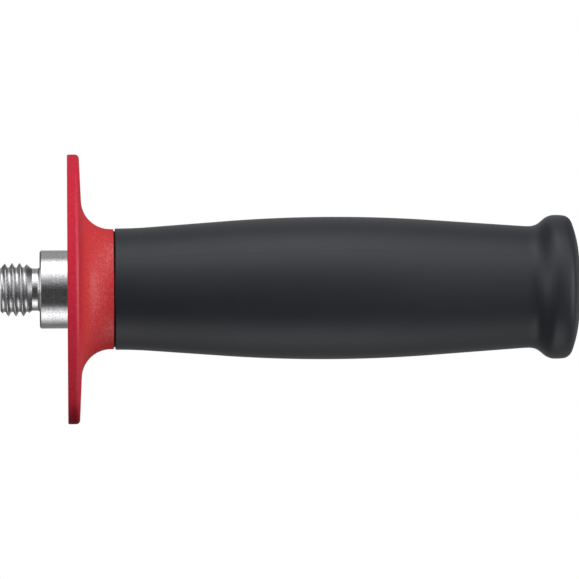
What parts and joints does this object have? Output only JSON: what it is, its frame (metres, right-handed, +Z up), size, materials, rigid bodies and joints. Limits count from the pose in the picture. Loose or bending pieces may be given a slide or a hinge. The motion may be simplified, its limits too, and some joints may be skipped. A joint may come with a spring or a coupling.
{
  "type": "power tool side handle",
  "caption": "Screw-in side handle for a large angle grinder: threaded steel stud with a collar, round hand guard with a flared hub, and a barrel grip ending in a knob.",
  "frame": {"origin": "middle of the collar's flat seat face, on the handle's axis", "axes": "+X along the handle from the stud to the knob, +Z up, +Y away from the picture's viewer"},
  "size_m": [0.153, 0.0714, 0.0714],
  "materials": {
    "stud_steel": "bright zinc plate over turned steel, satin",
    "guard_plastic": "red moulded plastic, finely grained hub, smoother rim",
    "grip_rubber": "black soft-touch moulding, finely grained, matte"
  },
  "bodies": {
    "root": {"threaded_stud": "stud_steel", "guard_flange": "guard_plastic", "grip": "grip_rubber"}
  },
  "joints": []
}
